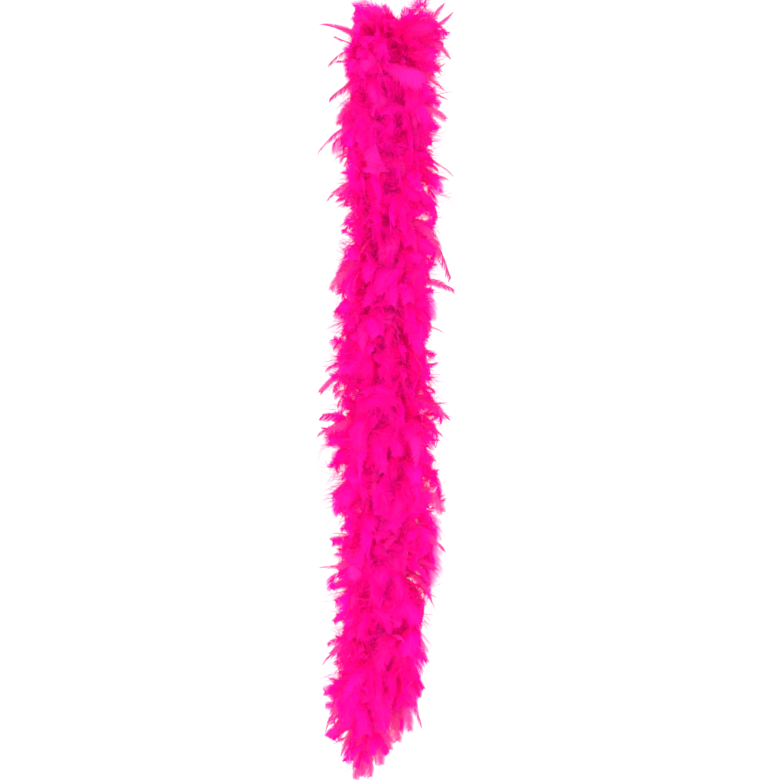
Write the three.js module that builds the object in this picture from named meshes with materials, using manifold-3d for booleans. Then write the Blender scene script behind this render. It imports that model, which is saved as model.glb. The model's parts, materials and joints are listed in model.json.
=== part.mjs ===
// A boa of chandelle feathers, hung folded in half over a hook.
//
// Units are millimetres and +Z is up. X runs from the left leg to the right leg and Y from front
// to back. The origin is the hanging point: the underside of the fold, where a hook bears.
//
// A twisted core cord runs the whole length. A thread binding clamps the feather quills on it.
// The fold is fixed, and each leg is a chain of straight lengths joined by bends of the core.
// Each length carries one section of feathers, drawn as a stack of downswept whorls. The two
// legs press together, so each one's whorls end at a flat on the side of the other leg.
import * as THREE from "three";
import { mergeVertices } from "three/addons/utils/BufferGeometryUtils.js";
import Module from "manifold-3d";

const wasm = await Module();
wasm.setup();

// Clearances
const fit_gap = 0.3; // between pieces that touch
const leg_gap = 1; // between the feathers of the two legs
const bend_gap = 1; // left free beyond the sharpest bend
const sleeve_setback = 5; // from a bend to the binding and the feathers on either side of it

// Core, binding and ends
const core_radius = 2.5;
const binding_wall = 1.2;
const whipping_wall = 1.8;
const whipping_length = 13;
const knot_radius = 6.5;
const knot_flattening = 0.85;
const tip_slope_deg = 50; // of the pointed ends where two lengths of core meet at a bend

// Layout of the two legs
const leg_spacing = 40; // between the cores of the two legs
const fold_stub = 8; // straight core below the half circle of the fold
const length_between_bends = 103;
const bends_per_leg = 8;
const legs = [
  { name: "left", side: -1, tail: 120, tail_whorls: 2 },
  { name: "right", side: 1, tail: 62, tail_whorls: 1 },
];

// Feathers
const feather_reach = 60; // from the core to the tips of the long feathers
const short_reach = 55; // the same for the whorls between them
const hub_radius = 8; // where the quills are bunched on the binding
const whorl_root = 12; // thickness of a whorl at its root
const whorl_tip = 4; // thickness of a whorl at its tips
const whorls_per_length = 3;
const upper_slope_deg = 26; // fall of the first whorl below a bend
const lower_slope_deg = 15; // fall of the last whorl above the next bend
const side_bend_deg = 35; // sharpest bend that the whorls on either side of it clear
const tassel_reach = 32; // from the core to the tips of the feathers that end a leg
const tassel_drop = 48; // of those tips below the end of the core
const tassel_rise = 34; // of their roots above the end of the core
const tassel_root = 18; // thickness of the tassel at its root

// Crown of feathers on the fold
const crown_height = 52; // above the origin
const crown_foot = 12; // below the origin
const crown_depth = 46; // to the front and to the back
const crown_half_width = 70; // of the dome that the crown is cut from
const crown_lean_deg = 22.5; // of its sides, which leave room for the legs to open
const notch_half_width = 10; // of the notch between its halves, at the top
const notch_floor = 10; // above the origin
const halves_gap = 3; // between its halves at the foot of the notch
const hook_gap = 16; // width of the free space under the fold

// Facets
const cord_sides = 8;
const whorl_sides = 16;
const fold_steps = 14;
const dome_sides = 20;
const dome_rings = 12;
const knot_sides = 10;
const knot_rings = 8;

const binding_bore = core_radius + fit_gap;
const binding_radius = binding_bore + binding_wall;
const feather_bore = binding_radius + fit_gap;
const leg_offset = leg_spacing / 2;
const fold_centre = binding_radius - leg_offset; // height of the fold's bend centre
const bend_height = fold_centre - fold_stub; // height of the first bend of each leg

function tangent(degrees) {
  return Math.tan(THREE.MathUtils.degToRad(degrees));
}

// Materials

function fabric(color, roughness) {
  return new THREE.MeshStandardMaterial({ color, roughness, metalness: 0 });
}
const core_cotton = fabric(0xd8106f, 0.9);
const binding_thread = fabric(0xc8005f, 0.7);
const feather_pink = fabric(0xf4048f, 0.8);

// Solids

function solid_of(geometry) {
  const bare = geometry.clone();
  bare.deleteAttribute("normal");
  bare.deleteAttribute("uv");
  const merged = mergeVertices(bare, 1e-4);
  return new wasm.Manifold(
    new wasm.Mesh({
      numProp: 3,
      vertProperties: new Float32Array(merged.attributes.position.array),
      triVerts: new Uint32Array(merged.index.array),
    }),
  );
}

function geometry_of(solid) {
  const mesh = solid.getMesh();
  const geometry = new THREE.BufferGeometry();
  geometry.setAttribute("position", new THREE.BufferAttribute(mesh.vertProperties, 3));
  geometry.setIndex(new THREE.BufferAttribute(mesh.triVerts, 1));
  geometry.computeVertexNormals();
  return geometry;
}

// A profile of [radius, height] points, counter-clockwise, turned about Z.
function turned(profile, sides) {
  const points = profile.map(([radius, height]) => new THREE.Vector2(radius, height));
  return new THREE.LatheGeometry(points, sides).rotateX(Math.PI / 2);
}

function closed(profile) {
  return [...profile, profile[0]];
}

// Core, binding, whipping and knot. Each hangs down from a bend at the origin of its group.

function core_length({ top, bottom, pointed_foot }) {
  const tip = core_radius * tangent(tip_slope_deg);
  const foot = bottom + (pointed_foot ? tip : 0);
  const profile = [[0, bottom], [core_radius, foot], [core_radius, top - tip], [0, top]];
  return turned(profile, cord_sides);
}

function sleeve({ wall, top, bottom }) {
  const radius = binding_bore + wall;
  const profile = [[binding_bore, top], [binding_bore, bottom], [radius, bottom], [radius, top]];
  return turned(closed(profile), cord_sides);
}

function end_knot(end) {
  return new THREE.SphereGeometry(knot_radius, knot_sides, knot_rings)
    .rotateX(Math.PI / 2)
    .scale(1, 1, knot_flattening)
    .translate(0, 0, end - fit_gap - knot_radius * knot_flattening);
}

// The core's line over the fold: a half circle with a straight stub at each end.
class FoldLine extends THREE.Curve {
  constructor(stub) {
    super();
    this.stub = stub;
  }

  getPoint(t, target = new THREE.Vector3()) {
    const half_turn = Math.PI * leg_offset;
    const along = t * (half_turn + 2 * this.stub) - this.stub;
    if (along < 0) return target.set(leg_offset, 0, fold_centre + along);
    if (along > half_turn) return target.set(-leg_offset, 0, fold_centre + half_turn - along);
    const angle = along / leg_offset;
    const height = fold_centre + leg_offset * Math.sin(angle);
    return target.set(leg_offset * Math.cos(angle), 0, height);
  }
}

function along_the_fold({ radius, bore, stub }) {
  const section = new THREE.Shape().absarc(0, 0, radius, 0, 2 * Math.PI);
  if (bore) section.holes.push(new THREE.Path().absarc(0, 0, bore, 0, 2 * Math.PI, true));
  return new THREE.ExtrudeGeometry(section, {
    steps: fold_steps,
    curveSegments: cord_sides / 2,
    extrudePath: new FoldLine(stub),
  });
}

function fold_core() {
  const tip = core_radius * tangent(tip_slope_deg);
  const stub = fold_stub - tip - fit_gap;
  const bend = { radius: core_radius, stub };
  const point = turned([[0, bend_height + fit_gap / 2], [core_radius, fold_centre - stub],
    [core_radius, fold_centre], [0, fold_centre]], cord_sides);
  const ends = [-leg_offset, leg_offset].map((x) => solid_of(point.clone().translate(x, 0, 0)));
  return geometry_of(ends.reduce((whole, end) => whole.add(end), solid_of(along_the_fold(bend))));
}

function fold_binding() {
  const stub = fold_stub - sleeve_setback;
  return along_the_fold({ radius: binding_radius, bore: binding_bore, stub });
}

// Feathers

// The outline of one whorl, from the underside of its root to the top of its root.
function whorl({ top, reach, fall, root }) {
  return [
    [hub_radius, top - root],
    [reach, top - fall - whorl_tip],
    [reach, top - fall],
    [hub_radius, top],
  ];
}

// A section of feathers round the core: a hub with its whorls, listed from the top down.
function feather_section(whorls, bottom, side) {
  const top = -sleeve_setback;
  const outline = [...whorls].reverse().flatMap(whorl);
  const profile = [[feather_bore, top], [feather_bore, bottom], [hub_radius, bottom], ...outline];
  const round = solid_of(turned(closed(profile), whorl_sides));
  return geometry_of(round.intersect(own_half(side)));
}

// The space on one leg's own side of the plane between the legs, seen from that leg's core.
function own_half(side) {
  const size = 8 * feather_reach;
  const inner_face = leg_offset - leg_gap / 2;
  const centre = side * (size / 2 - inner_face);
  return solid_of(new THREE.BoxGeometry(size, size, size).translate(centre, 0, 0));
}

// The top of each of a number of whorls, spread evenly from one height to another.
function spread(first, last, count) {
  return Array.from({ length: count }, (_, i) => first + ((last - first) * i) / (count - 1));
}

function full_length_whorls() {
  const reaches = spread(0, 1, whorls_per_length).map((share) =>
    share > 0 && share < 1 ? short_reach : feather_reach,
  );
  const slopes = spread(upper_slope_deg, lower_slope_deg, whorls_per_length);
  const falls = reaches.map((reach, i) => (reach - hub_radius) * tangent(slopes[i]));
  const clear_of_bend = feather_reach * tangent(side_bend_deg / 2) + bend_gap;
  const lowest = clear_of_bend - length_between_bends + whorl_tip + falls.at(-1);
  const tops = spread(-sleeve_setback, lowest, whorls_per_length);
  return tops.map((top, i) => ({ top, reach: reaches[i], fall: falls[i], root: whorl_root }));
}

function tail_whorls({ tail, tail_whorls: count }) {
  const tassel_top = tassel_rise - tail;
  const tops = spread(-sleeve_setback, tassel_top, count + 1).slice(0, count);
  const whorls = tops.map((top, i) => {
    const reach = i ? short_reach : feather_reach;
    const fall = (reach - hub_radius) * tangent(upper_slope_deg);
    return { top, reach, fall, root: whorl_root };
  });
  const fall = tassel_rise + tassel_drop - whorl_tip;
  return [...whorls, { top: tassel_top, reach: tassel_reach, fall, root: tassel_root }];
}

// One half of the crown: a slice of a dome, open round the binding and over the hook's gap.
function crown_half(side) {
  const lean = tangent(crown_lean_deg);
  const side_at = (height) => leg_offset + (height - bend_height) * lean;
  const outline = [
    [hook_gap / 2, -crown_foot],
    [side_at(-crown_foot), -crown_foot],
    [side_at(crown_height), crown_height],
    [notch_half_width, crown_height],
    [halves_gap / 2, notch_floor],
    [hook_gap / 2, 0],
  ];
  const shape = new THREE.Shape(outline.map(([x, z]) => new THREE.Vector2(side * x, z)));
  const depth = 4 * crown_depth;
  const slice = new THREE.ExtrudeGeometry(shape, { depth, bevelEnabled: false })
    .rotateX(Math.PI / 2)
    .translate(0, depth / 2, 0);
  const dome = new THREE.SphereGeometry(1, dome_sides, dome_rings)
    .rotateX(Math.PI / 2)
    .scale(crown_half_width, crown_depth, crown_height);
  const binding = along_the_fold({ radius: feather_bore, stub: fold_stub });
  return geometry_of(solid_of(slice).intersect(solid_of(dome)).subtract(solid_of(binding)));
}

// Assembly

function piece(name, geometry, material) {
  const mesh = new THREE.Mesh(geometry, material);
  mesh.name = name;
  return mesh;
}

function fold() {
  return new THREE.Group().add(
    piece("core_fold", fold_core(), core_cotton),
    piece("binding_fold", fold_binding(), binding_thread),
    piece("feathers_fold_left", crown_half(-1), feather_pink),
    piece("feathers_fold_right", crown_half(1), feather_pink),
  );
}

// A full length of a leg, from one bend to the next.
function full_length({ name, side }, number) {
  const bottom = -length_between_bends;
  const core = { top: -fit_gap / 2, bottom: bottom + fit_gap / 2, pointed_foot: true };
  const foot = bottom + sleeve_setback;
  const binding = { wall: binding_wall, top: -sleeve_setback, bottom: foot };
  const feathers = feather_section(full_length_whorls(), foot, side);
  return new THREE.Group().add(
    piece(`core_${name}_${number}`, core_length(core), core_cotton),
    piece(`binding_${name}_${number}`, sleeve(binding), binding_thread),
    piece(`feathers_${name}_${number}`, feathers, feather_pink),
  );
}

// The last length of a leg, which ends in a whipping, a knot and a tassel of feathers.
function tail_length(leg, number) {
  const { name, side, tail } = leg;
  const core = { top: -fit_gap / 2, bottom: -tail, pointed_foot: false };
  const whipping = { wall: whipping_wall, top: whipping_length - tail, bottom: fit_gap - tail };
  const foot = whipping.top + fit_gap;
  const binding = { wall: binding_wall, top: -sleeve_setback, bottom: foot };
  return new THREE.Group().add(
    piece(`core_${name}_${number}`, core_length(core), core_cotton),
    piece(`binding_${name}_${number}`, sleeve(binding), binding_thread),
    piece(`feathers_${name}_${number}`, feather_section(tail_whorls(leg), foot, side), feather_pink),
    piece(`whipping_${name}`, sleeve(whipping), binding_thread),
    piece(`knot_${name}`, end_knot(-tail), core_cotton),
  );
}

function leg_chain(leg) {
  const chain = Array.from({ length: bends_per_leg }, (_, i) => {
    const last = i === bends_per_leg - 1;
    return last ? tail_length(leg, i + 1) : full_length(leg, i + 1);
  });
  chain[0].position.set(leg.side * leg_offset, 0, bend_height);
  chain.slice(1).forEach((length, i) => {
    length.position.z = -length_between_bends;
    chain[i].add(length);
  });
  return chain[0];
}

const boa = new THREE.Group();
boa.add(fold(), ...legs.map(leg_chain));

export default boa;
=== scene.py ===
"""A hot pink boa of chandelle feathers, hung folded in half: the looks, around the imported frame."""
import json
import math

import bpy
import numpy as np
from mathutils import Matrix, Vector


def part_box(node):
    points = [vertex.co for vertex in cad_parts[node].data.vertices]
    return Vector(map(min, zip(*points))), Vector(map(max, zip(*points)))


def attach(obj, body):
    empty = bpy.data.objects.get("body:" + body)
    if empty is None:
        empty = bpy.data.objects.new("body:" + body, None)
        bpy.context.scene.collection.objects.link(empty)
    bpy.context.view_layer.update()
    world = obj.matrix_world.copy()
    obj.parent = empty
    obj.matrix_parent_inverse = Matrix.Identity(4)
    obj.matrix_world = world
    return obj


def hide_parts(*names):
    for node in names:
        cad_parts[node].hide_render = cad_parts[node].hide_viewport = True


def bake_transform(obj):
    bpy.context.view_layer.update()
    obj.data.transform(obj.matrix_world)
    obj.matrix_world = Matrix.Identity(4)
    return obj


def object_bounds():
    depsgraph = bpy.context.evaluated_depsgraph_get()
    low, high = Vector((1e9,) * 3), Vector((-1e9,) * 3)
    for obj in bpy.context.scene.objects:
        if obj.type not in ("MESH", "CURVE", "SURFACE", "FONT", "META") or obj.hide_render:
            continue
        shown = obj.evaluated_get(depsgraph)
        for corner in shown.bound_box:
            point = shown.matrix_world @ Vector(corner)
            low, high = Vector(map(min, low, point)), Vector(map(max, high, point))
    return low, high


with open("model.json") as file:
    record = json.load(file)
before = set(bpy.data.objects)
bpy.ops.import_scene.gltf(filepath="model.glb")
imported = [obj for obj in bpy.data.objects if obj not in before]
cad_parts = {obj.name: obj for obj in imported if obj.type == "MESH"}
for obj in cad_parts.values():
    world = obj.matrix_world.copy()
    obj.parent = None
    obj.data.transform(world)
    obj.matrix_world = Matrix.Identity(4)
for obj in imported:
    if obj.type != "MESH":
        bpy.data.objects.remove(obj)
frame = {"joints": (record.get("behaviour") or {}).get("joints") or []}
CAD_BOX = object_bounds()
RANDOM = np.random.default_rng(41)  # seeded, so that every run gives the same feathers
MM = 0.001

# ---------------------------------------------------------------- places, read from the frame

LEGS = {"left": -1, "right": 1}
BENDS = {joint["child"]: Vector(joint["pos_m"]) for joint in frame["joints"]}
BENDS_PER_LEG = len(BENDS) // len(LEGS)
LEG_OFFSET = BENDS["right_1"].x
CORE_RADIUS = (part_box("core_left_2")[1].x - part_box("core_left_2")[0].x) / 2
FOLD_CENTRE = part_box("core_fold")[1].z - CORE_RADIUS - LEG_OFFSET
CORE_END = {leg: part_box(f"core_{leg}_{BENDS_PER_LEG}")[0].z for leg in LEGS}
FOLD_STUB = 12 * MM  # how far above the first bends the legs' first stretches begin


def bend_height(leg, number):
    """The height of a leg's bend, or of the end of its core one past the last."""
    return BENDS[f"{leg}_{number}"].z if number <= BENDS_PER_LEG else CORE_END[leg]


class Stretch:
    """A stretch of the core that lies across one bend, or is rigid where it has one body."""

    def __init__(self, leg, number, bodies, top, bottom):
        self.leg, self.number, self.bodies = leg, number, bodies
        self.top, self.bottom = top, bottom
        self.name, self.side = f"{leg}_{number}", LEGS[leg]

    @property
    def is_end(self):
        """Past the last bend, where the leg ends in its whipping and knot."""
        return len(self.bodies) == 1

    @property
    def is_beside_fold(self):
        return "fold" in self.bodies

    @property
    def length(self):
        return self.top - self.bottom

    def place(self, down):
        """The point of the core at this distance down the stretch."""
        return np.array([self.side * LEG_OFFSET, 0.0, self.top - down])


def leg_stretches(leg):
    """A leg's stretches from the top down: one across each bend, then the rigid end."""
    last = BENDS_PER_LEG
    middles = [
        (bend_height(leg, number) + bend_height(leg, number + 1)) / 2
        for number in range(1, last + 1)
    ]
    tops = [bend_height(leg, 1) + FOLD_STUB, *middles[:-1]]
    stretches = [
        Stretch(
            leg,
            number,
            ("fold" if number == 1 else f"{leg}_{number - 1}", f"{leg}_{number}"),
            tops[number - 1],
            middles[number - 1],
        )
        for number in range(1, last + 1)
    ]
    end = Stretch(leg, "end", (f"{leg}_{last}",), middles[-1], CORE_END[leg])
    return [*stretches, end]


STRETCHES = [stretch for leg in LEGS for stretch in leg_stretches(leg)]


def follow(piece, stretch):
    """At the end of a leg the piece rides on its one body; elsewhere its place is baked into its
    points.
    """
    if stretch.is_end:
        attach(piece, stretch.bodies[0])
    else:
        stretch.place(0)
        stretch.place(stretch.length)
        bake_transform(piece)


# ---------------------------------------------------------------- meshes from arrays


class Batch:
    """Vertices, faces of four corners and their places on the map, gathered into one mesh."""

    def __init__(self):
        self.points, self.faces, self.places, self.count = [], [], [], 0

    def add(self, points, faces, places):
        """points is n by 3, faces is m by 4 and places gives each point's place on the map."""
        self.points.append(points)
        self.faces.append(faces + self.count)
        self.places.append(places)
        self.count += len(points)

    def mesh(self, name, material):
        points = np.concatenate(self.points)
        corners = np.concatenate(self.faces).ravel()
        places = np.concatenate(self.places)[corners]
        mesh = bpy.data.meshes.new(name)
        mesh.vertices.add(len(points))
        mesh.vertices.foreach_set("co", points.astype(np.float32).ravel())
        mesh.loops.add(len(corners))
        mesh.loops.foreach_set("vertex_index", corners.astype(np.int32))
        mesh.polygons.add(len(corners) // 4)
        mesh.polygons.foreach_set("loop_start", np.arange(0, len(corners), 4, dtype=np.int32))
        mesh.uv_layers.new(name="OFBake").data.foreach_set("uv", places.astype(np.float32).ravel())
        mesh.update(calc_edges=True)
        mesh.materials.append(material)
        piece = bpy.data.objects.new(name, mesh)
        bpy.context.scene.collection.objects.link(piece)
        return piece


def strips(ring, rings, closed):
    """Faces of a tube or ribbon whose points come ring by ring."""
    across = np.arange(ring if closed else ring - 1)
    near = (np.arange(rings - 1)[:, None] * ring + across).ravel()
    far = (np.arange(rings - 1)[:, None] * ring + (across + 1) % ring).ravel()
    return np.stack([near, far, far + ring, near + ring], 1)


CREASE_DEPTH = 0.28  # of the grooves between a cord's plies, as a share of its radius
FRAME_START = np.array([0.3, 1.0, 0.2])  # not along any line that is swept
POINTS_PER_TURN = 16  # of a helix
LAST_RADIUS, NEXT_RADIUS = 0.04, 0.8  # of a tube at its end, and one step before it, as shares


def sweep(line, radii, sides, plies=0, turns=0.0):
    """A tube along a line: round, or of twisted plies at so many turns to the metre.

    Its place on the map runs up and back round the tube, so that it has no seam.
    """
    steps = np.linalg.norm(np.diff(line, axis=0), axis=1)
    distance = np.concatenate([[0], np.cumsum(steps)])
    normals, across = frames(line)
    around = 2 * np.pi * np.arange(sides) / sides
    crease = np.abs(np.cos(plies / 2 * (around - 2 * np.pi * turns * distance[:, None])))
    radius = np.broadcast_to(radii, len(line))[:, None] * (1 - CREASE_DEPTH + CREASE_DEPTH * crease)
    offset = (
        np.cos(around)[None, :, None] * normals[:, None]
        + np.sin(around)[None, :, None] * across[:, None]
    )
    points = line[:, None] + radius[:, :, None] * offset
    u = 1 - np.abs(np.arange(sides) * 2 / sides - 1)
    v = distance / distance[-1]
    places = np.stack(np.broadcast_arrays(u[None, :], v[:, None]), 2)
    return points.reshape(-1, 3), strips(sides, len(line), True), places.reshape(-1, 2)


def frames(line):
    """Two directions square to a line at each of its points, turning as little as they can."""
    ahead = np.gradient(line, axis=0)
    ahead /= np.linalg.norm(ahead, axis=1, keepdims=True)
    start = np.cross(ahead[0], FRAME_START)
    normals = [start / np.linalg.norm(start)]
    for way in ahead[1:]:
        normal = normals[-1] - np.dot(normals[-1], way) * way
        normals.append(normal / np.linalg.norm(normal))
    normals = np.array(normals)
    return normals, np.cross(ahead, normals)


def wound(line, radius, pitch, start=0.0):
    """A helix round a line."""
    finer = refined(line, abs(pitch) / POINTS_PER_TURN)
    steps = np.linalg.norm(np.diff(finer, axis=0), axis=1)
    angle = start + 2 * np.pi * np.concatenate([[0], np.cumsum(steps)])[:, None] / pitch
    normals, across = frames(finer)
    return finer + radius * (np.cos(angle) * normals + np.sin(angle) * across)


def refined(line, spacing):
    """The same line with points this far apart."""
    steps = np.linalg.norm(np.diff(line, axis=0), axis=1)
    distance = np.concatenate([[0], np.cumsum(steps)])
    count = max(2, round(distance[-1] / spacing) + 1)
    at = np.linspace(0, distance[-1], count)
    return np.stack([np.interp(at, distance, line[:, axis]) for axis in range(3)], 1)


def closed_ends(count, radius):
    """Radii along a tube whose ends close almost to a point."""
    radii = np.full(count, radius)
    radii[[0, -1]] = LAST_RADIUS * radius
    radii[[1, -2]] = NEXT_RADIUS * radius
    return radii


# ---------------------------------------------------------------- feather patterns

# A pattern is a feather laid flat: each point's place along the quill and across it, and its
# height off the plane, all as shares of the feather's length.
CELLS = 8  # the map has this many cells each way, and each feather uses one
CELL_MARGIN = 0.05
BARB_STEPS = np.array([0.0, 0.4, 0.75, 1.0])  # places along a barb
BARB_TAPER = np.array([1.0, 1.0, 0.85, 0.22])  # its width there, as a share of that at its root
VANE_START = 0.1  # of the quill's length, and down grows below it
VANE_ENDS = {"pointed": 0.93, "round": 0.985, "blunt": 0.985}
BARBS_PER_SIDE = 40
ROOT_LEAN = 60  # degrees between a barb and the quill at the foot of the vane
TIP_LEAN = {"pointed": 26, "round": 34, "blunt": 52}  # and at its tip
LEFT_VANE, RIGHT_VANE = 1.0, 0.86  # a blade's vanes differ in width
RAGGED = (0.84, 1.04)  # the shares of their full reach that its barbs have
BARB_OVERLAP = 1.02  # the width of a barb as a share of the space between two
LEAN_SPLITS, LEVEL_SPLITS = (4, 0.08), (3, 0.012)  # how many splits a vane has, and how wide
BLADE_QUILL, PLUME_QUILL = (0.0062, 0.0012), (0.008, 0.002)  # radius at the root and at the tip
BLADE_CAMBER, DOWN_CAMBER = 2.2, 0.5  # how far barbs curve off the feather's plane
BLADE_WAVER, DOWN_WAVER = (0.005, 0.16), (0.075, 0.5)  # how far they stray from it and turn
BLADE_DOWN = dict(count=8, first=0.03, last=0.22, reach=0.16)
PLUME_DOWN = dict(count=24, first=0.08, last=1.0, reach=0.34)
DOWN_LENGTHS = (0.55, 1.1)  # shares of the reach that downy barbs have
DOWN_LEANS = (35, 85)  # degrees between them and the quill
DOWN_BARB = 0.0075  # their thickness


def vane_width(shape, along):
    """The width of one side of the vane as a share of its greatest."""
    rise = np.clip((along - 0.06) / 0.34, 0, 1) ** 0.75
    fall = {
        "pointed": np.clip(1 - (along / 0.95) ** 2.1, 0, 1),
        "round": np.sqrt(np.clip(1 - along**3.2, 0, 1)),
        "blunt": 1 - 0.3 * along**5,
    }[shape]
    return rise * fall


def barbs(roots, side, reach, lean, thickness, camber, waver):
    """Points, faces and map places of a row of barbs on one side of the quill.

    Each barb is a tapered ribbon. reach is its length across, lean its forward slant,
    thickness its width where it leaves the quill, and waver how far it strays from the plane
    and how far it is turned.
    """
    steps = BARB_STEPS
    count = len(roots)
    forward = reach / np.tan(lean)
    along = roots[:, None] + forward[:, None] * steps**1.25
    across = side * reach[:, None] * steps
    off = -camber * across**2 + waver[:, :1] * steps**2
    half = 0.5 * thickness[:, None] * BARB_TAPER
    tilt = waver[:, 1:2]
    points = np.stack(
        [
            np.stack([along - half, along + half], 2),
            np.stack([across, across], 2),
            np.stack([off - half * tilt, off + half * tilt], 2),
        ],
        3,
    )
    shade = np.stack([np.broadcast_to(roots[:, None], along.shape)] * 2, 2)
    spread = np.broadcast_to((0.5 + 0.5 * side * steps)[None, :, None], shade.shape)
    places = np.stack([spread, np.clip(shade, 0, 1)], 3)
    one = strips(2, len(steps), False)
    if side < 0:
        one = one[:, ::-1]
    faces = (np.arange(count)[:, None, None] * 2 * len(steps) + one).reshape(-1, 4)
    return points.reshape(-1, 3), faces, places.reshape(-1, 2)


def quill(thick, thin):
    """A three-sided tapered shaft along the whole feather."""
    steps = np.linspace(0, 1, 8)
    radius = thick + (thin - thick) * steps**0.8
    turn = 2 * np.pi * np.arange(3) / 3 + np.pi / 2
    along = np.repeat(steps[:, None], 3, 1)
    across = radius[:, None] * np.cos(turn)
    off = radius[:, None] * np.sin(turn)
    points = np.stack([along, across, off], 2).reshape(-1, 3)
    places = np.stack([np.full(along.shape, 0.5), along], 2).reshape(-1, 2)
    return points, strips(3, len(steps), True), places


class Pattern:
    """One feather's points, faces and map places, joined from its parts."""

    def __init__(self, parts):
        points, faces, places = zip(*parts)
        starts = np.cumsum([0] + [len(p) for p in points[:-1]])
        self.points = np.concatenate(points)
        self.faces = np.concatenate([f + start for f, start in zip(faces, starts)])
        self.places = np.concatenate(places)


def clumped(count, clumps, size):
    """A number for each barb that changes only where the vane has split."""
    cuts = np.sort(RANDOM.integers(2, max(count - 2, 3), clumps))
    return RANDOM.normal(0, size, clumps + 1)[np.searchsorted(cuts, np.arange(count), "right")]


def blade_pattern(shape, width):
    """A chandelle blade: a broad soft vane with splits and a frayed edge, and down at its foot."""
    count = BARBS_PER_SIDE
    roots = np.linspace(VANE_START, VANE_ENDS[shape], count)
    parts = [quill(*BLADE_QUILL)]
    for side in (-1, 1):
        reach = width * vane_width(shape, roots) * RANDOM.uniform(*RAGGED, count)
        reach = np.clip(reach * (LEFT_VANE if side < 0 else RIGHT_VANE), 0.01, None)
        lean = np.radians(np.interp(roots, [0, 1], [ROOT_LEAN, TIP_LEAN[shape]]))
        lean = lean + clumped(count, *LEAN_SPLITS)
        thickness = np.full(count, BARB_OVERLAP * (roots[1] - roots[0]))
        waver = RANDOM.normal(0, 1, (count, 2)) * BLADE_WAVER
        waver[:, 0] += clumped(count, *LEVEL_SPLITS)
        parts.append(barbs(roots, side, reach, lean, thickness, BLADE_CAMBER, waver))
        parts.append(down(side, **BLADE_DOWN))
    return Pattern(parts)


def down(side, count, first, last, reach):
    """Loose downy barbs on one side of the quill."""
    roots = np.sort(RANDOM.uniform(first, last, count))
    lengths = reach * RANDOM.uniform(*DOWN_LENGTHS, count)
    lean = np.radians(RANDOM.uniform(*DOWN_LEANS, count))
    waver = RANDOM.normal(0, 1, (count, 2)) * DOWN_WAVER
    return barbs(roots, side, lengths, lean, np.full(count, DOWN_BARB), DOWN_CAMBER, waver)


def plume_pattern():
    """A short downy feather, all loose barbs."""
    parts = [quill(*PLUME_QUILL)]
    for side in (-1, 1):
        parts.append(down(side, **PLUME_DOWN))
    return Pattern(parts)


BLADES = {
    shape: [blade_pattern(shape, width) for width in widths]
    for shape, widths in {
        "pointed": (0.12, 0.15, 0.18),
        "round": (0.16, 0.19, 0.22),
        "blunt": (0.13, 0.16),
    }.items()
}
PLUMES = [plume_pattern() for _ in range(5)]

# ---------------------------------------------------------------- feathers in place

NOTCH = 15 * MM  # where the crown parts, to the right of the middle
NOTCH_FLOOR = 26 * MM  # the height down to which it parts
NOTCH_SLOPES = {-1: 0.5, 1: 1.2}  # sideways for each step up, of the notch's left and right faces
NOTCH_MARGIN = 7 * MM  # room for half the width of a vane
NOTCH_GIVE = 0.12  # the share of its overlap that a quill keeps
SAMPLES = 12  # steps along a quill
PRESSED = 0.8  # the share by which feathers are pressed back where they reach past the crown


def notched(points):
    """A quill of the crown keeps to its own side of the place where the boa is held."""
    side = 1 if points[SAMPLES // 2 :, 0].mean() > NOTCH else -1
    above = np.maximum(points[:, 2] - NOTCH_FLOOR, 0)
    keep = NOTCH_SLOPES[side] * above + NOTCH_MARGIN * np.minimum(above / NOTCH_MARGIN, 1)
    within = side * (points[:, 0] - NOTCH) - keep
    pressed = NOTCH + side * (keep + NOTCH_GIVE * within)
    points[:, 0] = np.where((within < 0) & (above > 0), pressed, points[:, 0])
    return points


class Quill:
    """The curve of one feather's quill, with the directions across it and off its face."""

    def __init__(self, points, face, roll, twist=0.0):
        self.points = points
        steps = np.gradient(points, axis=0)
        lengths = np.linalg.norm(steps, axis=1, keepdims=True)
        self.ahead = steps / lengths
        across = np.cross(face, self.ahead)
        across /= np.linalg.norm(across, axis=1, keepdims=True)
        off = np.cross(self.ahead, across)
        turn = roll + twist * np.linspace(0, 1, len(points))[:, None]
        self.across = across * np.cos(turn) + off * np.sin(turn)
        self.off = off * np.cos(turn) - across * np.sin(turn)
        self.length = float(lengths.sum())

    def laid(self, pattern, width=1.0):
        """The pattern's points bent along the quill."""
        along = pattern.points[:, 0]
        held = np.clip(along, 0, 1) * (len(self.points) - 1)
        at = np.clip(held.astype(int), 0, len(self.points) - 2)
        share = (held - at)[:, None]

        def mixed(values):
            return values[at] * (1 - share) + values[at + 1] * share

        past = (along - np.clip(along, 0, 1))[:, None]
        return (
            mixed(self.points)
            + self.length
            * (
                past * mixed(self.ahead)
                + width * pattern.points[:, 1:2] * mixed(self.across)
                + pattern.points[:, 2:3] * mixed(self.off)
            )
        )


def cell_places(pattern, stray):
    """The pattern's places on the map, in a cell drawn at random; the top row is the strays'."""
    corner = RANDOM.integers(0, [CELLS, CELLS - 1])
    if stray:
        corner[1] = CELLS - 1
    inner = CELL_MARGIN + (1 - 2 * CELL_MARGIN) * pattern.places
    return (corner + inner) / CELLS


def add_feather(batch, pattern, curve, width=1.0, stray=False):
    batch.add(held_in(curve.laid(pattern, width)), pattern.faces, cell_places(pattern, stray))


HELD_FROM = np.array([84, 58]) * MM  # to the side and to the front
HELD_SHARE = 2 / 3


def held_in(points):
    """Points beyond the boa's usual width and depth are pressed back by a share of the rest."""
    flat = points[:, :2]
    beyond = np.maximum(np.abs(flat) - HELD_FROM, 0)
    return np.concatenate([flat - np.sign(flat) * beyond * HELD_SHARE, points[:, 2:]], 1)


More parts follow.
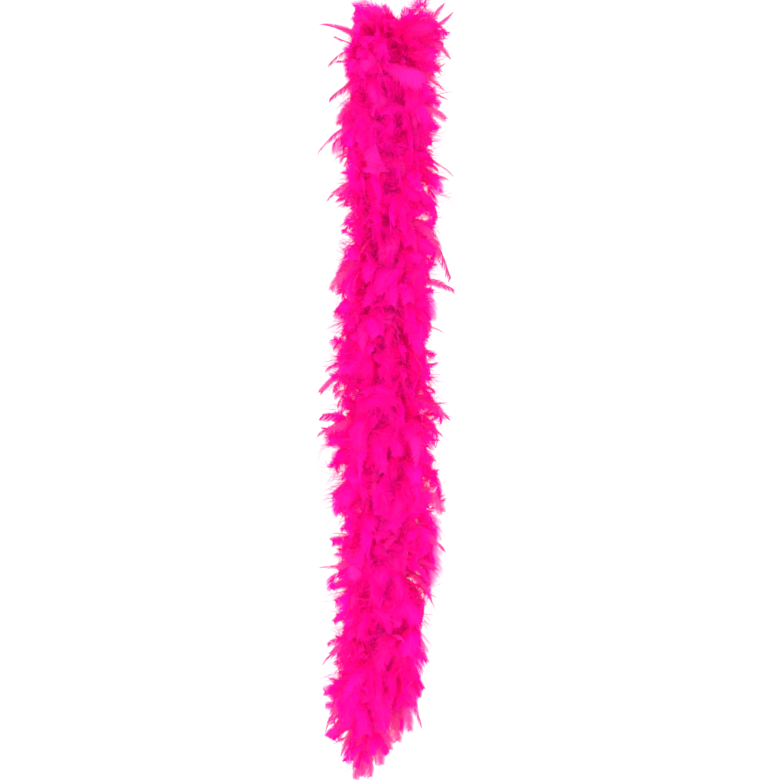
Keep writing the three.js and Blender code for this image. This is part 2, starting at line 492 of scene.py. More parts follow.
# How far the fluff stands out from the middle of the boa, to each side, by height (mm).
OUTLINE = {
    "left": [
        (60, 40), (30, 50), (0, 40), (-50, 40), (-80, 56), (-125, 68), (-150, 52), (-205, 42),
        (-260, 58), (-300, 60), (-380, 74), (-420, 78), (-440, 72), (-480, 88), (-520, 78),
        (-565, 70), (-605, 50), (-640, 68), (-700, 76), (-718, 46), (-738, 66), (-770, 66),
        (-840, 80), (-870, 76), (-910, 54),
    ],
    "right": [
        (60, 48), (30, 68), (0, 66), (-20, 50), (-40, 64), (-60, 60), (-80, 68), (-110, 60),
        (-165, 72), (-200, 68), (-240, 62), (-262, 78), (-300, 56), (-350, 56), (-400, 62),
        (-470, 76), (-515, 60), (-570, 74), (-610, 62), (-690, 62), (-725, 42), (-800, 46),
        (-850, 30), (-880, 20),
    ],
}
# How far the fluff leans sideways by height (mm).
LEAN = [(60, 5), (0, 5), (-300, 0), (-560, 0), (-720, -8), (-850, -15), (-930, -16)]
DEPTH_REACH = 52 * MM  # how far the feathers stand out to the front and back
TAIL_DROP = 47 * MM  # how far the last feathers hang below the end of the core
TAIL_WAIST = 0.4  # the width of a tail's tip as a share of the leg's
# The crown's outline around the middle of the fold: angle from the right in degrees, reach in mm.
CROWN = [
    (-40, 56), (-17, 60), (0, 48), (8, 54), (17, 72), (33, 80), (45, 76), (53, 73), (59, 66),
    (66, 58), (72, 50), (77, 54), (81, 60), (88, 66), (98, 70), (110, 73), (118, 71), (126, 62),
    (135, 50), (148, 40), (165, 34), (200, 36), (220, 42),
]
LENGTHS = {"blade": (46, 92), "plume": (34, 68)}  # mm


def listed(points, at):
    """The value at a place in a list of places and values."""
    places, values = zip(*sorted(points))
    return np.interp(at, places, values)


def curl(azimuth, rise, fall, swirl):
    """A feather's quill of unit length from its root: a curve that turns downward and sideways.

    rise is the angle above the horizon at the root, and fall the angle it turns down by.
    """
    steps = (np.arange(SAMPLES) + 0.5) / SAMPLES
    angle = rise - fall * steps**1.3
    heading = azimuth + swirl * steps
    moves = [np.cos(angle) * np.cos(heading), np.cos(angle) * np.sin(heading), np.sin(angle)]
    return np.concatenate([[[0, 0, 0]], np.cumsum(np.stack(moves, 1), 0) / SAMPLES])


THINNEST = 4 * MM  # of the fluff on the outer side of a leg


def leg_room(leg, share):
    """A test of which points lie inside a leg's share of the outline."""
    side = LEGS[leg]

    def inside(points):
        height = points[:, 2]
        outward = side * points[:, 0] - LEG_OFFSET
        hang = np.clip((height - CORE_END[leg] + TAIL_DROP) / TAIL_DROP, TAIL_WAIST, 1)
        reach = hang * listed(OUTLINE[leg], height / MM) * MM - LEG_OFFSET * hang
        reach = np.where(outward > 0, reach, DEPTH_REACH * hang)
        far = np.hypot(outward / np.maximum(reach, THINNEST), points[:, 1] / DEPTH_REACH / hang)
        return (far < share) & (height > CORE_END[leg] - TAIL_DROP)

    return inside


def crown_settled(share):
    """Bends quills over where they reach the crown's outline, and parts them at the notch."""

    def settle(points):
        rise = points[:, 2] - FOLD_CENTRE
        angle = np.degrees(np.arctan2(rise, points[:, 0]))
        angle = np.where(angle < -90, angle + 360, angle)
        far = np.hypot(points[:, 0], rise)
        beyond = np.maximum(far - share * listed(CROWN, angle) * MM, 0)
        kept = 1 - PRESSED * beyond / far
        points[:, 0] *= kept
        points[:, 2] = FOLD_CENTRE + rise * kept
        points[:, 1] = np.clip(points[:, 1], -DEPTH_REACH, DEPTH_REACH)
        return notched(points)

    return settle


LENGTHS_TRIED = 9
ROOT_STEPS = 3  # of a quill, which may lie outside


def grown(root, shape, kind, inside, settle):
    """The longest quill of this kind that stays inside, with the last step that settles it."""
    shortest, longest = LENGTHS[kind]
    wanted = RANDOM.uniform(0.5 * (shortest + longest), longest)
    for length in np.linspace(wanted, shortest, LENGTHS_TRIED) * MM:
        points = settle(root + shape * length)
        if inside(points[ROOT_STEPS:]).all():
            break
    return points


CROSSING_SHARE = 0.2


def held_apart(points, side, gap):
    """A quill keeps this share of what would cross further than the gap into the other leg."""
    over = side * points[:, 0] + gap
    over = np.where(over < 0, CROSSING_SHARE * over, over)
    points[:, 0] = side * (over - gap)
    return points


# How feathers leave the core (degrees): the angle above the horizon at their root and the angle
# that they turn down by, each with its mean and spread.
RISE, FALL = (14, 30), (66, 52)
SWIRL = 1.3  # radians, the spread of the sideways turn
HANG_LENGTH = 45 * MM  # of the end of a leg where feathers hang down
HANG_DROP, FOLD_DROP = 1.1, 0.5  # radians, how much lower feathers point there and by the fold
HANG_FALL = 0.6  # the share of their fall that they lose there
CROSSING = (10, 26)  # mm, the most they reach past the middle, and more at the front and back
FACE_PULL = 0.7  # how strongly faces turn out and up, against FACE_SPREAD
SHARES = {"blade": (0.76, 1.07), "plume": (0.66, 1.03)}  # of the outline that feathers fill


def feather_on_leg(batch, stretch, down_the_leg, azimuth, kind):
    """A feather of a leg, rooted this far down the stretch, that leaves the core this way."""
    root = stretch.place(down_the_leg)
    gap = RANDOM.uniform(0, CROSSING[0] + CROSSING[1] * abs(math.sin(azimuth))) * MM
    hang = max(0.0, 1 - (root[2] - CORE_END[stretch.leg]) / HANG_LENGTH)
    drop = HANG_DROP * hang + (FOLD_DROP if stretch.is_beside_fold else 0.0)
    rise = math.radians(RANDOM.normal(*RISE)) - drop
    fall = math.radians(RANDOM.normal(*FALL)) * (1 - HANG_FALL * hang)
    shape = curl(azimuth, rise, fall, RANDOM.normal(0, SWIRL))
    lean = listed(LEAN, root[2] / MM) * MM * np.linspace(0, 1, SAMPLES + 1)

    def settle(points):
        points[:, 0] += lean
        return notched(held_apart(points, stretch.side, gap))

    share = RANDOM.uniform(*SHARES[kind])
    points = grown(root, shape, kind, leg_room(stretch.leg, share), settle)
    face = np.array([math.cos(azimuth), math.sin(azimuth), 1.0]) * FACE_PULL
    lay_feather(batch, points, face, kind)


LEG_SHAPES = (0.34, 0.42, 0.24)  # shares of pointed, round and blunt blades
CROWN_SHAPES = (0.08, 0.8, 0.12)
FACE_SPREAD = 0.3
ROLL_SPREAD, TWIST_SPREAD = 0.75, 0.5  # radians, of turns about the quill
BREADTHS = (0.85, 1.2)  # shares of the pattern's breadth


def lay_feather(batch, points, face, kind, shapes=LEG_SHAPES):
    """Adds a feather along the points, with its face turned roughly this way."""
    face = face + RANDOM.normal(0, FACE_SPREAD, 3)
    curve = Quill(points, face, RANDOM.normal(0, ROLL_SPREAD), RANDOM.normal(0, TWIST_SPREAD))
    add_feather(batch, pattern_for(kind, shapes), curve, RANDOM.uniform(*BREADTHS))


def pattern_for(kind, shapes):
    """A pattern drawn at random, with these shares of pointed, round and blunt blades."""
    if kind == "plume":
        return PLUMES[RANDOM.integers(len(PLUMES))]
    shape = RANDOM.choice(list(BLADES), p=shapes)
    return BLADES[shape][RANDOM.integers(len(BLADES[shape]))]


PER_METRE = {"blade": 920, "plume": 640}
FIRST_EXTRA = 1.3  # times as many beside the fold, where they cover the parting of the legs
GOLDEN = math.pi * (3 - math.sqrt(5))  # the turn between feathers, which never repeats
TURN_SPREAD = 0.3
TURNED_ASIDE = 0.5  # the share of the turn past the front or back that a feather keeps


def parted(index, side):
    """The way round the core that a feather points, turned aside from the other leg."""
    turn = (index * GOLDEN + RANDOM.normal(0, TURN_SPREAD) + math.pi) % (2 * math.pi) - math.pi
    if abs(turn) > math.pi / 2:
        turn = math.copysign(math.pi / 2 + TURNED_ASIDE * (abs(turn) - math.pi / 2), turn)
    return turn if side > 0 else math.pi - turn


# Single feathers that stand out of the fluff: leg, height of the root, sideways place and height
# of the tip, how far the quill bows upward (all in mm), shape, and breadth as a share of
# STRAY_BREADTH.
STRAYS = [
    ("left", 6, -86, 27, 5, "pointed", 0.7),
    ("left", 2, -64, 22, 3, "pointed", 0.9),
    ("left", -4, -63, 12, -3, "blunt", 0.6),
    ("left", -14, -72, -24, 14, "round", 0.5),
    ("left", -52, -70, -65, 8, "blunt", 1.5),
    ("left", -70, -64, -103, 14, "pointed", 0.8),
    ("left", -96, -92, -144, 14, "pointed", 0.9),
    ("left", -128, -66, -143, 4, "pointed", 0.6),
    ("left", -166, -76, -198, 10, "pointed", 0.9),
    ("left", -270, -68, -304, 12, "round", 1.2),
    ("left", -392, -82, -432, 8, "blunt", 0.6),
    ("left", -462, -89, -487, 6, "round", 1.0),
    ("left", -636, -85, -650, -3, "pointed", 0.8),
    ("left", -735, -82, -776, 12, "pointed", 1.0),
    ("left", -800, -78, -862, 26, "pointed", 1.0),
    ("left", -826, -58, -892, 12, "pointed", 0.9),
    ("left", -838, -42, -906, 8, "pointed", 1.0),
    ("left", -846, -27, -915, 4, "pointed", 1.0),
    ("left", -840, -12, -900, 6, "pointed", 0.8),
    ("left", -842, -38, -914, 6, "round", 1.3),
    ("left", -845, -20, -912, 3, "round", 1.2),
    ("left", -838, -6, -894, 10, "round", 1.2),
    ("left", -830, 5, -876, 10, "round", 1.2),
    ("right", 10, 76, 55, -6, "pointed", 0.7),
    ("right", 6, 88, 47, -8, "pointed", 0.9),
    ("right", 2, 77, 20, 3, "pointed", 0.6),
    ("right", -8, 80, 9, 4, "pointed", 0.6),
    ("right", -11, 84, -22, 22, "pointed", 0.8),
    ("right", -36, 77, -20, -8, "pointed", 0.6),
    ("right", -44, 75, -58, 12, "pointed", 0.8),
    ("right", -62, 80, -70, 8, "pointed", 0.7),
    ("right", -76, 74, -92, 8, "round", 0.8),
    ("right", -142, 88, -167, 12, "pointed", 0.8),
    ("right", -228, 80, -287, 32, "blunt", 0.75),
    ("right", -292, 86, -305, 6, "blunt", 0.9),
    ("right", -345, 75, -360, 5, "pointed", 0.7),
    ("right", -440, 82, -470, 10, "pointed", 0.9),
    ("right", -466, 74, -490, 8, "pointed", 0.8),
    ("right", -545, 70, -580, 12, "round", 1.1),
    ("right", -600, 76, -634, 10, "pointed", 0.8),
    ("right", -640, 70, -656, 4, "pointed", 0.7),
    ("right", -660, 62, -704, 16, "pointed", 0.9),
    ("right", -742, 38, -768, 8, "pointed", 0.8),
    ("right", -792, 42, -832, 8, "pointed", 0.8),
    ("right", -803, 47, -858, 10, "pointed", 0.8),
    ("right", -796, 30, -852, 8, "round", 1.3),
    ("right", -800, 14, -866, 6, "round", 1.3),
]
STRAY_FORWARD = 14 * MM  # how far in front of the core they pass
STRAY_TIP = 1.4  # times as far, the most that a tip stands forward
STRAY_FACE = np.array([0, -1.0, 0.3])
STRAY_ROLL, STRAY_TWIST = 0.3, 0.6
STRAY_BREADTH = 0.75  # of a blade in the fluff


def lay_stray(batch, root, stray):
    """A single feather of the list, bowed from its root to its tip."""
    _, _, x, z, bow, shape, breadth = stray
    tip = np.array([x * MM, -RANDOM.uniform(0, STRAY_TIP) * STRAY_FORWARD, z * MM])
    middle = (root + tip) / 2 + np.array([0, -STRAY_FORWARD, 2 * bow * MM])
    steps = np.linspace(0, 1, SAMPLES + 1)[:, None]
    points = root * (1 - steps) ** 2 + 2 * middle * steps * (1 - steps) + tip * steps**2
    roll, twist = RANDOM.normal(0, STRAY_ROLL), RANDOM.normal(0, STRAY_TWIST)
    curve = Quill(points, STRAY_FACE, roll, twist)
    pattern = BLADES[shape][RANDOM.integers(len(BLADES[shape]))]
    add_feather(batch, pattern, curve, STRAY_BREADTH * breadth, stray=True)


def dress_leg(batch, stretch):
    """The feathers of a stretch, in the order of the real spiral, and the single ones on it."""
    extra = FIRST_EXTRA if stretch.is_beside_fold else 1
    for kind, density in PER_METRE.items():
        count = round(stretch.length * density * extra)
        for i in range(count):
            down_the_leg = stretch.length * (i + RANDOM.uniform(0, 1)) / count
            feather_on_leg(batch, stretch, down_the_leg, parted(i, stretch.side), kind)
    for stray in STRAYS:
        if stray[0] == stretch.leg and stretch.bottom <= stray[1] * MM < stretch.top:
            lay_stray(batch, stretch.place(stretch.top - stray[1] * MM), stray)


CROWN_EXTRA = {"blade": 2.2, "plume": 1.5}  # times as many as on the same length of a leg
CROWN_SHARES = (0.82, 1.05)
CROWN_RADIUS = 60 * MM  # roughly, to tell on which side of the notch a feather ends
CROWN_LIFT = 0.45  # how much feathers that point to the front and back rise
BOW_SPREAD = 0.12
BOW_ASIDE, BOW_DOWN = 0.4, (0.15, 0.6)  # how far feathers bow from the notch, and down
CROWN_FACE = np.array([0, -0.8, 0])
CROWN_FACE_SPREAD = 0.5
CROWN_STRAY_ROOT = 0.9  # of the way from the middle to the leg
TURNS_OUT = [0.35, 0.7, 1.0]  # shares of the turn, so that more stand out of the fold than in it


def crown_feather(batch, turn, azimuth, kind):
    """A feather of the crown, rooted this far round the fold, that bends over to its own side."""
    radial = np.array([math.cos(turn), 0.0, math.sin(turn)])
    root = np.array([0, 0, FOLD_CENTRE]) + LEG_OFFSET * radial
    out = radial * math.cos(azimuth) + np.array([0, math.sin(azimuth), 0])
    out += np.array([0, 0, CROWN_LIFT * abs(math.sin(azimuth)) * math.sin(turn)])
    out /= np.linalg.norm(out)
    steps = np.linspace(0, 1, SAMPLES + 1)[:, None]
    aside = 1 if out[0] * CROWN_RADIUS > NOTCH else -1
    bow = RANDOM.normal(0, BOW_SPREAD, 3)
    bow += [aside * RANDOM.uniform(0, BOW_ASIDE), 0, -RANDOM.uniform(*BOW_DOWN)]
    shape = out * steps + bow * steps**2
    share = RANDOM.uniform(*CROWN_SHARES)
    length = RANDOM.uniform(*LENGTHS[kind]) * MM
    points = crown_settled(share)(root + shape * length)
    face = CROWN_FACE + RANDOM.normal(0, CROWN_FACE_SPREAD, 3)
    lay_feather(batch, points, face, kind, CROWN_SHAPES)


def dress_fold(batch):
    """The crown: feathers that fan up and out from the half circle of the fold."""
    around = math.pi * LEG_OFFSET + 2 * FOLD_STUB
    for kind, density in PER_METRE.items():
        count = round(around * density * CROWN_EXTRA[kind])
        for i in range(count):
            turn = math.pi * (i + RANDOM.uniform(0, 1)) / count
            azimuth = (i * GOLDEN + math.pi) % (2 * math.pi) - math.pi
            azimuth *= RANDOM.choice(TURNS_OUT)
            crown_feather(batch, turn, azimuth, kind)
    for stray in STRAYS:
        if stray[1] * MM >= -FOLD_STUB:
            x, z = LEGS[stray[0]] * CROWN_STRAY_ROOT * LEG_OFFSET, stray[1] * MM / 2
            lay_stray(batch, np.array([x, 0, z]), stray)


# ---------------------------------------------------------------- materials


def node(tree, kind, **inputs):
    made = tree.nodes.new(kind)
    for name, value in inputs.items():
        key = int(name[1:]) if name.startswith("_") else name.replace("_", " ")
        if isinstance(value, bpy.types.NodeSocket):
            tree.links.new(value, made.inputs[key])
        else:
            made.inputs[key].default_value = value
    return made


def maths(tree, operation, a, b=0.0):
    made = node(tree, "ShaderNodeMath", _0=a, _1=b)
    made.operation = operation
    return made.outputs[0]


def new_material(name):
    material = bpy.data.materials.new(name)
    material.use_nodes = True
    material.node_tree.nodes.clear()
    return material, material.node_tree


def colour_mix(tree, share, a, b):
    made = tree.nodes.new("ShaderNodeMix")
    made.data_type = "RGBA"
    for key, value in (("Factor", share), ("A", a), ("B", b)):
        socket = next(s for s in made.inputs if s.name == key and s.enabled)
        if isinstance(value, bpy.types.NodeSocket):
            tree.links.new(value, socket)
        else:
            socket.default_value = value
    return next(s for s in made.outputs if s.enabled)


DEEP, BRIGHT = (1.0, 0.0, 0.235, 1), (1.0, 0.0006, 0.54, 1)  # the dye in and along the streaks
# painted light: the ends of the barbs are painted paler, as if the white light behind shone through
# them
PAINTED_LIGHT_THROUGH_EDGE = (1.0, 0.01, 0.55, 1)
PALE_SHAFT = (0.9, 0.05, 0.4, 1)
# painted highlight: the cells with the most dye are painted paler toward the tip, standing in for
# highlights on the blades
PAINTED_HIGHLIGHT = (1.0, 0.03, 0.5, 1)
DARK_TIP = (0.5, 0.005, 0.3, 1)
# painted light: the strays are painted a paler, duller pink toward the tip, as if the white light
# behind shone through them
PAINTED_STRAY_LIGHT = (0.62, 0.09, 0.3, 1)
LIGHT_THROUGH_EDGE_SHARE, SHAFT_SHARE, PAINTED_HIGHLIGHT_SHARE, TIP_SHARE, PAINTED_STRAY_LIGHT_SHARE = 0.35, 0.3, 0.7, 0.6, 0.85
SHAFT_WIDTH = 0.03  # of half the feather's breadth
STREAKS = (2.2, 46)  # how fine they are: out along a barb, and from barb to barb
STREAK_WEIGHT, DYE_WEIGHT = 0.75, 0.4  # of the streaks and the cell's dye in the tone
PAINTED_HIGHLIGHT_FROM = 0.86  # the dye above which a cell gets a painted highlight toward its tip
GLOSS = 0.05
SHINE_THROUGH = 0.55  # the share of the light that a feather lets through


def feather_material():
    """Dyed feather: streaked along its barbs, paler along the quill, and with painted light at the
    barb ends.

    Each cell of the map has its own tone. Every tip is darker, the cells with the most dye get a
    painted highlight toward the tip, and the strays' row of cells gets painted light toward it.
    """
    material, tree = new_material("dyed_feather")
    spot = tree.nodes.new("ShaderNodeUVMap")
    spot.uv_map = "OFBake"
    split = node(tree, "ShaderNodeSeparateXYZ", Vector=spot.outputs[0])
    across, along = (maths(tree, "MULTIPLY", split.outputs[i], CELLS) for i in (0, 1))
    column, row = maths(tree, "FLOOR", across), maths(tree, "FLOOR", along)
    across, along = maths(tree, "SUBTRACT", across, column), maths(tree, "SUBTRACT", along, row)
    cell = node(tree, "ShaderNodeCombineXYZ", X=column, Y=row).outputs[0]
    dye = node(tree, "ShaderNodeTexWhiteNoise", Vector=cell).outputs["Value"]
    place = node(
        tree,
        "ShaderNodeCombineXYZ",
        X=maths(tree, "MULTIPLY", across, STREAKS[0]),
        Y=maths(tree, "MULTIPLY", along, STREAKS[1]),
        Z=maths(tree, "MULTIPLY", dye, 90),  # far apart, so that no two cells are streaked alike
    ).outputs[0]
    streak = node(tree, "ShaderNodeTexNoise", Vector=place, Scale=1.0, Detail=2.0).outputs["Fac"]
    edge = maths(tree, "MULTIPLY", maths(tree, "ABSOLUTE", maths(tree, "SUBTRACT", across, 0.5)), 2)
    streak = maths(tree, "MULTIPLY", streak, STREAK_WEIGHT)
    tone = maths(tree, "ADD", streak, maths(tree, "MULTIPLY", dye, DYE_WEIGHT))
    colour = colour_mix(tree, tone, DEEP, BRIGHT)
    shaft = maths(tree, "LESS_THAN", edge, SHAFT_WIDTH)
    # painted highlight toward the tips of the cells with the most dye
    highlight_mask = maths(tree, "MULTIPLY", maths(tree, "GREATER_THAN", dye, PAINTED_HIGHLIGHT_FROM), along)
    # painted light through the strays, toward their tips
    stray = maths(tree, "MULTIPLY", maths(tree, "GREATER_THAN", row, CELLS - 1.5), along)
    for where, share, tint in (
        (maths(tree, "POWER", edge, 4), LIGHT_THROUGH_EDGE_SHARE, PAINTED_LIGHT_THROUGH_EDGE),
        (shaft, SHAFT_SHARE, PALE_SHAFT),
        (highlight_mask, PAINTED_HIGHLIGHT_SHARE, PAINTED_HIGHLIGHT),
        (maths(tree, "POWER", along, 3), TIP_SHARE, DARK_TIP),
        (stray, PAINTED_STRAY_LIGHT_SHARE, PAINTED_STRAY_LIGHT),
    ):
        colour = colour_mix(tree, maths(tree, "MULTIPLY", where, share), colour, tint)
    surface = node(tree, "ShaderNodeBsdfPrincipled", Base_Color=colour, Roughness=0.5)
    surface.inputs["Specular IOR Level"].default_value = GLOSS
    through = node(tree, "ShaderNodeBsdfTranslucent", Color=colour)
    both = node(
        tree,
        "ShaderNodeMixShader",
        _0=SHINE_THROUGH,
        _1=surface.outputs[0],
        _2=through.outputs[0],
    )
    node(tree, "ShaderNodeOutputMaterial", Surface=both.outputs[0])
    return material


FIBRE_SCALE = 3.0
FIBRES_ALONG = 14.0
FIBRE_HEIGHT = 0.4 * MM
SHEEN = 0.3


def cotton_material(name, dark, light, roughness, fibres_around):
    """Dyed cotton: fine fibres along the piece, with the map's across as the way round."""
    material, tree = new_material(name)
    spot = tree.nodes.new("ShaderNodeUVMap")
    spot.uv_map = "OFBake"
    split = node(tree, "ShaderNodeSeparateXYZ", Vector=spot.outputs[0])
    place = node(
        tree,
        "ShaderNodeCombineXYZ",
        X=maths(tree, "MULTIPLY", split.outputs[0], fibres_around),
        Y=maths(tree, "MULTIPLY", split.outputs[1], FIBRES_ALONG),
    ).outputs[0]
    noise = node(tree, "ShaderNodeTexNoise", Vector=place, Scale=FIBRE_SCALE, Detail=5.0)
    fibre = noise.outputs["Fac"]
    colour = colour_mix(tree, fibre, dark, light)
    bump = node(tree, "ShaderNodeBump", Height=fibre, Strength=0.5, Distance=FIBRE_HEIGHT)
    surface = node(
        tree,
        "ShaderNodeBsdfPrincipled",
        Base_Color=colour,
        Roughness=roughness,
        Normal=bump.outputs[0],
    )
    surface.inputs["Sheen Weight"].default_value = SHEEN
    node(tree, "ShaderNodeOutputMaterial", Surface=surface.outputs[0])
    return material


FEATHER = feather_material()
CORD = cotton_material("dyed_cord", (0.8, 0.0, 0.14, 1), (0.98, 0.004, 0.36, 1), 0.85, 5.0)
THREAD = cotton_material("binding_thread", (0.85, 0.0, 0.18, 1), (1.0, 0.01, 0.42, 1), 0.6, 2.0)

# ---------------------------------------------------------------- assembly


CORE_STEPS, FOLD_STEPS = 14, 20
CORD_TURNS = 55.0  # of the cord's plies, to the metre
KNOT_TURNS = 90.0  # the same where the cord is pulled tight in a knot
CORD_STEP = 1.2 * MM  # between the rings of points along a cord
CORD_FULLNESS = 1.06  # of the plies' outer radius, so that with their grooves they fill the core's
CORD_PLIES = 3
CORD_SIDES, KNOT_SIDES, WHIPPING_SIDES, THREAD_SIDES, FRAY_SIDES = 24, 18, 8, 6, 4
THREAD_RADIUS = 0.4 * MM
THREAD_PITCH = 7 * MM
CLOSE_PITCH = 0.47 * THREAD_PITCH
WHIPPING_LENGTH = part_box("whipping_left")[1].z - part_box("whipping_left")[0].z
WHIPPING_RADIUS = (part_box("whipping_left")[1].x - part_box("whipping_left")[0].x) / 2
WHIPPING_THREAD = 0.6 * MM
KNOT_POINTS = 97
KNOT_STRAND = 0.78 * CORE_RADIUS  # thinner than the core, as it is pulled tight
KNOT_HEIGHT = 2.3  # of the knot's curve, which is a trefoil
TREFOIL_REACH = 3  # how far a trefoil of unit size reaches from its middle
FRAY_STRANDS = 30
FRAY_RADIUS = 0.22 * MM
FRAY_DROP = (12 * MM, 19 * MM)
FRAY_POINTS = 7
FRAY_SPREAD = 0.22  # sideways for each step down


def core_line(stretch):
    """The middle of the core along a stretch."""
    return np.array([stretch.place(stretch.length * i / CORE_STEPS) for i in range(CORE_STEPS + 1)])


def fold_line():
    """The middle of the core round the half circle of the fold, from left to right."""
    turns = np.linspace(math.pi, 0, FOLD_STEPS + 1)
    return np.array(
        [[LEG_OFFSET * math.cos(t), 0, FOLD_CENTRE + LEG_OFFSET * math.sin(t)] for t in turns]
    )


def cord_piece(name, line, far_end):
    """A length of the three-ply core, and its facts as a cord."""
    batch = Batch()
    fine = refined(line, CORD_STEP)
    radii = closed_ends(len(fine), CORD_FULLNESS * CORE_RADIUS)
    batch.add(*sweep(fine, radii, CORD_SIDES, CORD_PLIES, CORD_TURNS))
    piece = batch.mesh(f"core_cord_{name}", CORD)
    length = float(np.linalg.norm(np.diff(line, axis=0), axis=1).sum())
    return piece, dict(
        exit=tuple(line[0]),
        length=length,
        diameter=2 * CORE_RADIUS,
        far_end=far_end,
        stiffness="limp",
        lay="hanging",
        path=[tuple(point) for point in line],
    )


def thread_piece(name, line):
    """The threads that bind the quills to the core: two helices one way, and one that crosses."""
    batch = Batch()
    for pitch, start in ((THREAD_PITCH, 0.0), (-THREAD_PITCH, 1.0), (CLOSE_PITCH, 2.0)):
        helix = wound(line, CORE_RADIUS + THREAD_RADIUS, pitch, start)
        batch.add(*sweep(helix, closed_ends(len(helix), THREAD_RADIUS), THREAD_SIDES))
    piece = batch.mesh(f"thread_{name}", THREAD)
    return piece


def dress_core(stretch):
    """The cord and the threads of a stretch, and its whipping and knot where it ends the leg."""
    line = core_line(stretch)
    cord, facts = cord_piece(stretch.name, line, "knot" if stretch.is_end else "object")
    thread = thread_piece(stretch.name, line)
    if not stretch.is_end:
        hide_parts(f"core_{stretch.name}")
        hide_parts(f"binding_{stretch.name}")
    for piece in (cord, thread):
        follow(piece, stretch)
    end_pieces(stretch.leg) if stretch.is_end else []


def whipping_piece(leg):
    """The close winding of thread that stops the core's end from fraying."""
    x, end = LEGS[leg] * LEG_OFFSET, CORE_END[leg]
    line = np.array([[x, 0, end + WHIPPING_LENGTH], [x, 0, end + WHIPPING_THREAD]])
    helix = wound(line, WHIPPING_RADIUS - WHIPPING_THREAD, 2 * WHIPPING_THREAD)
    batch = Batch()
    batch.add(*sweep(helix, closed_ends(len(helix), WHIPPING_THREAD), WHIPPING_SIDES))
    return batch.mesh(f"whipping_thread_{leg}", THREAD)


def knot_piece(leg):
    """The overhand knot past the whipping, with the frayed end of the cord below it."""
    lowest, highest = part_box(f"knot_{leg}")
    centre = np.array((lowest + highest) / 2)
    turns = np.linspace(0, 2 * math.pi, KNOT_POINTS)
    trefoil = np.stack(
        [
            np.sin(turns) + 2 * np.sin(2 * turns),
            np.cos(turns) - 2 * np.cos(2 * turns),
            -KNOT_HEIGHT * np.sin(3 * turns),
        ],
        1,
    )
    scale = ((highest.x - lowest.x) / 2 - KNOT_STRAND) / TREFOIL_REACH
    radii = closed_ends(KNOT_POINTS, KNOT_STRAND)
    batch = Batch()
    batch.add(*sweep(centre + scale * trefoil, radii, KNOT_SIDES, CORD_PLIES, KNOT_TURNS))
    for _ in range(FRAY_STRANDS):
        batch.add(*sweep(*fray(centre), FRAY_SIDES))
    return batch.mesh(f"end_knot_{leg}", CORD)


def end_pieces(leg):
    """The whipping and the knot of a leg's end, in their places in the frame."""
    pieces = [whipping_piece(leg), knot_piece(leg)]
    for piece, replaced, slot in zip(pieces, ("whipping", "knot"), ("binding_thread", "core_cord")):
        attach(piece, f"{leg}_{BENDS_PER_LEG}")
        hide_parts(f"{replaced}_{leg}")
    return pieces


def fray(centre):
    """One loose strand of the cord's cut end below the knot, with its radii."""
    drop = np.linspace(0, RANDOM.uniform(*FRAY_DROP), FRAY_POINTS)
    spread = RANDOM.normal(0, FRAY_SPREAD, 2)
    line = centre + np.stack(
        [spread[0] * drop + RANDOM.normal(0, 0.5) * MM, spread[1] * drop, -drop], 1
    )
    return line, closed_ends(FRAY_POINTS, FRAY_RADIUS)


def dress_fold_core():
    """The cord and the threads of the fold."""
    line = fold_line()
    cord, facts = cord_piece("fold", line, "object")
    thread = thread_piece("fold", line)
    for piece, replaced in ((cord, "core_fold"), (thread, "binding_fold")):
        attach(piece, "fold")
        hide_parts(replaced)


def plumage_piece(stretch):
    """The feathers of a stretch of a leg, as one piece."""
    batch = Batch()
    dress_leg(batch, stretch)
    piece = batch.mesh(f"plumage_{stretch.name}", FEATHER)
    follow(piece, stretch)
    if not stretch.is_end:
        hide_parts(f"feathers_{stretch.name}")


def fold_plumage_piece():
    """The feathers of the fold, as one piece."""
    batch = Batch()
    dress_fold(batch)
    piece = batch.mesh("plumage_fold", FEATHER)
    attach(piece, "fold")
    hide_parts("feathers_fold_left", "feathers_fold_right")


dress_fold_core()
for stretch in STRETCHES:
    dress_core(stretch)
for stretch in STRETCHES:
    plumage_piece(stretch)
fold_plumage_piece()

# ---------------------------------------------------------------- floor, light and camera

FLOOR_DROP = 0.3  # from the lowest feathers to the floor
FLOOR_REACH = 30.0
FLOOR_COLOUR = (0.97, 0.97, 0.97, 1)
WORLD_STRENGTH = 1.04
MIDDLE = (0, 0, -0.43)  # what the lights point at
VIEW_CENTRE = Vector((0.005, 0.0, -0.429))
VIEW_HEIGHT = 0.975  # of the picture, at the boa
LENS = 100.0
SENSOR = 36.0


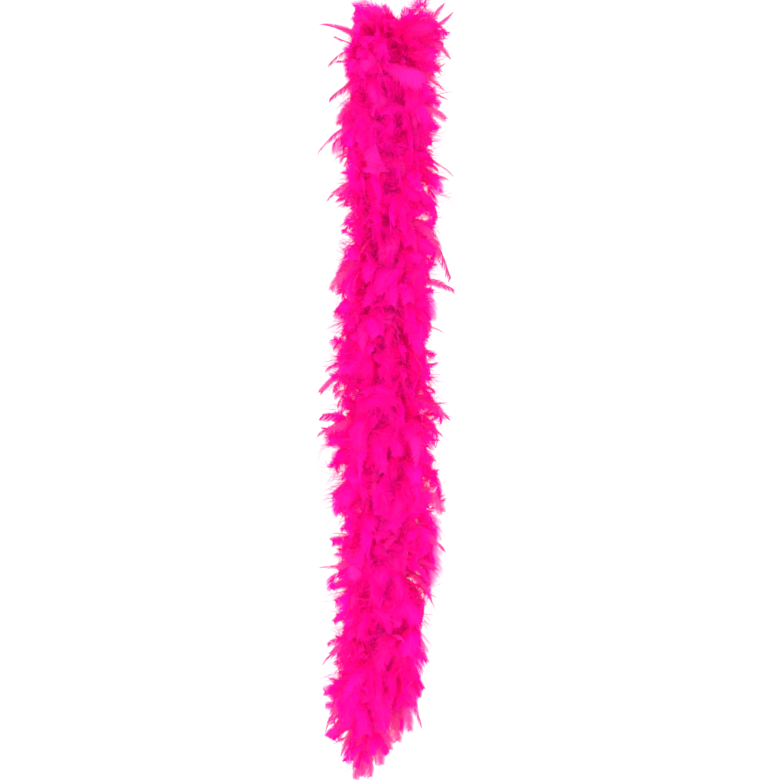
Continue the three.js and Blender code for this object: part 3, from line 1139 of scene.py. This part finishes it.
def plain(name, colour, roughness):
    material, tree = new_material(name)
    surface = node(tree, "ShaderNodeBsdfPrincipled", Base_Color=colour, Roughness=roughness)
    node(tree, "ShaderNodeOutputMaterial", Surface=surface.outputs[0])
    return material


def floor():
    """A plain pale floor below the hanging boa."""
    mesh = bpy.data.meshes.new("floor")
    size, height = FLOOR_REACH, CAD_BOX[0].z - FLOOR_DROP
    corners = [(-size, -size), (size, -size), (size, size), (-size, size)]
    mesh.from_pydata([(x, y, height) for x, y in corners], [], [(0, 1, 2, 3)])
    mesh.materials.append(plain("pale_floor", FLOOR_COLOUR, 0.9))
    made = bpy.data.objects.new("floor", mesh)
    bpy.context.scene.collection.objects.link(made)


def soft_light(name, place, size, power):
    """A round area light, in metres and watts, that points at the middle of the boa."""
    light = bpy.data.lights.new(name, "AREA")
    light.shape, light.size, light.energy = "DISK", size, power
    made = bpy.data.objects.new(name, light)
    made.location = place
    made.rotation_euler = (Vector(MIDDLE) - Vector(place)).to_track_quat("-Z", "Y").to_euler()
    bpy.context.scene.collection.objects.link(made)


def studio():
    """White all round, a large soft light from the front, and weaker ones beside and behind."""
    world = bpy.data.worlds.new("studio")
    world.use_nodes = True
    world.node_tree.nodes["Background"].inputs["Color"].default_value = (1, 1, 1, 1)
    world.node_tree.nodes["Background"].inputs["Strength"].default_value = WORLD_STRENGTH
    bpy.context.scene.world = world
    soft_light("key", (-0.25, -3.0, -0.2), 2.0, 84)
    for side in (-1, 1):
        soft_light(f"side_{side}", (2.1 * side, -0.7, 0.3), 1.4, 14)
        soft_light(f"back_{side}", (1.9 * side, 2.1, 0.6), 1.4, 16)
    bpy.context.scene.view_settings.view_transform = "Standard"


def camera():
    """Level with the middle of the boa and straight in front of it, as in the photograph."""
    lens = bpy.data.cameras.new("camera")
    lens.lens, lens.sensor_width = LENS, SENSOR
    made = bpy.data.objects.new("camera", lens)
    away = VIEW_HEIGHT / 2 / (SENSOR / 2 / LENS)
    made.location = VIEW_CENTRE - Vector((0, away, 0))
    made.rotation_euler = (math.pi / 2, 0, 0)
    bpy.context.scene.collection.objects.link(made)
    bpy.context.scene.camera = made


floor()
studio()
camera()
